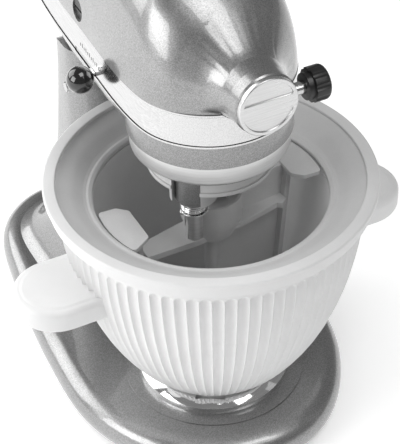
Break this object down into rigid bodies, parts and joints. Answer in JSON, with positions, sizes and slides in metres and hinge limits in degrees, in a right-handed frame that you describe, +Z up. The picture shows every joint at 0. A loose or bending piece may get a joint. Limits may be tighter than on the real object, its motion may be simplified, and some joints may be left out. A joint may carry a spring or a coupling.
{
  "type": "ice cream maker",
  "caption": "Tilt-head stand machine with a planetary drive, carrying a fluted frozen-bowl ice cream attachment with side handles and a paddle dasher.",
  "frame": {"origin": "centre of the whole object's box, on the surface the feet stand on", "axes": "+Z up; -Y towards the attachment hub at the front of the head; +X follows from +Y cross +Z, on the side of the attachment knob"},
  "size_m": [0.28, 0.3795, 0.353],
  "materials": {
    "body_paint": "metallic paint, fine flake, clear coat",
    "zinc_steel": "zinc plated",
    "foot_rubber": "matte",
    "shaft_steel": "ground",
    "polished_chrome": "polished",
    "trim_metal": "polished",
    "gear_steel": "machined, oiled",
    "lamination_steel": "stacked sheet",
    "brass_fittings": "machined",
    "carbon": "pressed carbon",
    "black_plastic": "moulded, satin",
    "cast_aluminium": "as cast",
    "carrier_grey": "metallic paint",
    "satin_aluminium": "satin",
    "grey_plastic": "moulded, fine texture",
    "cap_metal": "satin, polished edge",
    "black_gloss": "gloss",
    "white_plastic": "moulded, satin",
    "rim_plastic": "moulded, fine texture",
    "liner_metal": "matt, spun",
    "coolant_gel": "frozen gel, sealed in"
  },
  "bodies": {
    "stand": {"base_casting": "body_paint", "pedestal_column": "body_paint", "pedestal_bolts": "zinc_steel", "rubber_feet": "foot_rubber", "foot_screws": "zinc_steel", "hinge_pin": "shaft_steel", "hinge_set_screw": "zinc_steel", "head_height_screw": "zinc_steel", "bowl_clamp_plate": "polished_chrome", "clamp_plate_screws": "zinc_steel"},
    "head": {"upper_housing": "body_paint", "attachment_hub": "body_paint", "lower_housing": "body_paint", "trim_band": "trim_metal", "rear_cover": "body_paint", "rear_cover_screw": "zinc_steel", "housing_screws": "zinc_steel", "internal_ring_gear": "gear_steel", "motor_stator": "lamination_steel", "brush_holders": "brass_fittings", "carbon_brushes": "carbon", "brush_caps": "black_plastic", "bearing_brackets": "cast_aluminium", "rotor_bearings": "gear_steel", "centre_bushings": "brass_fittings", "worm_bracket": "cast_aluminium", "speed_plate": "black_plastic", "cord_gland": "foot_rubber", "hub_bushing": "brass_fittings"},
    "rotor": {"motor_shaft": "shaft_steel", "armature_core": "lamination_steel", "commutator": "brass_fittings", "cooling_fan": "black_plastic"},
    "worm_drive": {"worm_wheel": "brass_fittings", "worm_pinion_shaft": "gear_steel"},
    "hub_drive": {"hub_drive_shaft": "shaft_steel", "hub_bevel_gear": "gear_steel"},
    "planetary": {"centre_shaft": "shaft_steel", "centre_gear": "gear_steel", "planetary_carrier": "carrier_grey", "planetary_pin": "shaft_steel", "planetary_ring": "satin_aluminium", "drive_clip": "grey_plastic"},
    "beater": {"beater_shaft": "polished_chrome", "beater_cross_pin": "polished_chrome", "planet_pinion": "gear_steel", "beater_spring": "polished_chrome", "beater_washers": "polished_chrome"},
    "cap": {"hub_cap": "cap_metal"},
    "knob": {"attachment_knob": "black_plastic", "knob_shank": "trim_metal"},
    "speed_control": {"speed_lever": "trim_metal", "speed_ball": "black_gloss"},
    "lock": {"lock_lever": "black_gloss"},
    "bowl": {"bowl_outer_shell": "white_plastic", "bowl_top_ring": "rim_plastic", "bowl_inner_liner": "liner_metal", "bowl_coolant": "coolant_gel", "bowl_foot": "white_plastic"},
    "dasher": {"dasher": "grey_plastic"}
  },
  "joints": [
    {"name": "head_tilt", "type": "hinge", "parent": "stand", "child": "head", "pos_m": [0, 0.04775, 0.196], "axis": [-1, 0, 0], "range_deg": [0, 48]},
    {"name": "planetary_spin", "type": "hinge", "parent": "head", "child": "planetary", "pos_m": [0, -0.08125, 0.23], "axis": [0, 0, 1], "continuous": true},
    {"name": "beater_shaft_spin", "type": "hinge", "parent": "planetary", "child": "beater", "pos_m": [-0.02083, -0.09842, 0.2], "axis": [0, 0, 1], "continuous": true},
    {"name": "worm_wheel_spin", "type": "hinge", "parent": "head", "child": "worm_drive", "pos_m": [0.024, -0.05442, 0.27], "axis": [0, 0, 1], "continuous": true},
    {"name": "rotor_spin", "type": "hinge", "parent": "head", "child": "rotor", "pos_m": [0, 0.01875, 0.291], "axis": [0, 1, 0], "continuous": true},
    {"name": "hub_drive_spin", "type": "hinge", "parent": "head", "child": "hub_drive", "pos_m": [0, -0.12125, 0.2947], "axis": [0, 1, 0], "continuous": true},
    {"name": "dasher_spin", "type": "hinge", "parent": "stand", "child": "dasher", "pos_m": [0, -0.08125, 0.1], "axis": [0, 0, 1], "continuous": true},
    {"name": "bowl_twist", "type": "hinge", "parent": "stand", "child": "bowl", "pos_m": [0, -0.08125, 0.037], "axis": [0, 0, 1], "range_deg": [0, 30]},
    {"name": "speed_lever_slide", "type": "slide", "parent": "head", "child": "speed_control", "axis": [0, 1, 0], "range_m": [0, 0.027]},
    {"name": "lock_lever_slide", "type": "slide", "parent": "stand", "child": "lock", "axis": [0, 1, 0], "range_m": [0, 0.0115]},
    {"name": "attachment_knob_turn", "type": "hinge", "parent": "head", "child": "knob", "pos_m": [0.04, -0.14325, 0.29], "axis": [1, 0, 0], "continuous": true},
    {"name": "hub_cap_pull", "type": "slide", "parent": "head", "child": "cap", "axis": [0, -1, 0], "range_m": [0, 0.06]}
  ],
  "couplings": [
    {"joint": "beater_shaft_spin", "follows": "planetary_spin", "ratio": -4},
    {"joint": "worm_wheel_spin", "follows": "planetary_spin", "ratio": -5},
    {"joint": "rotor_spin", "follows": "planetary_spin", "ratio": 180},
    {"joint": "hub_drive_spin", "follows": "planetary_spin", "ratio": 1.2174},
    {"joint": "dasher_spin", "follows": "planetary_spin", "ratio": 1}
  ]
}
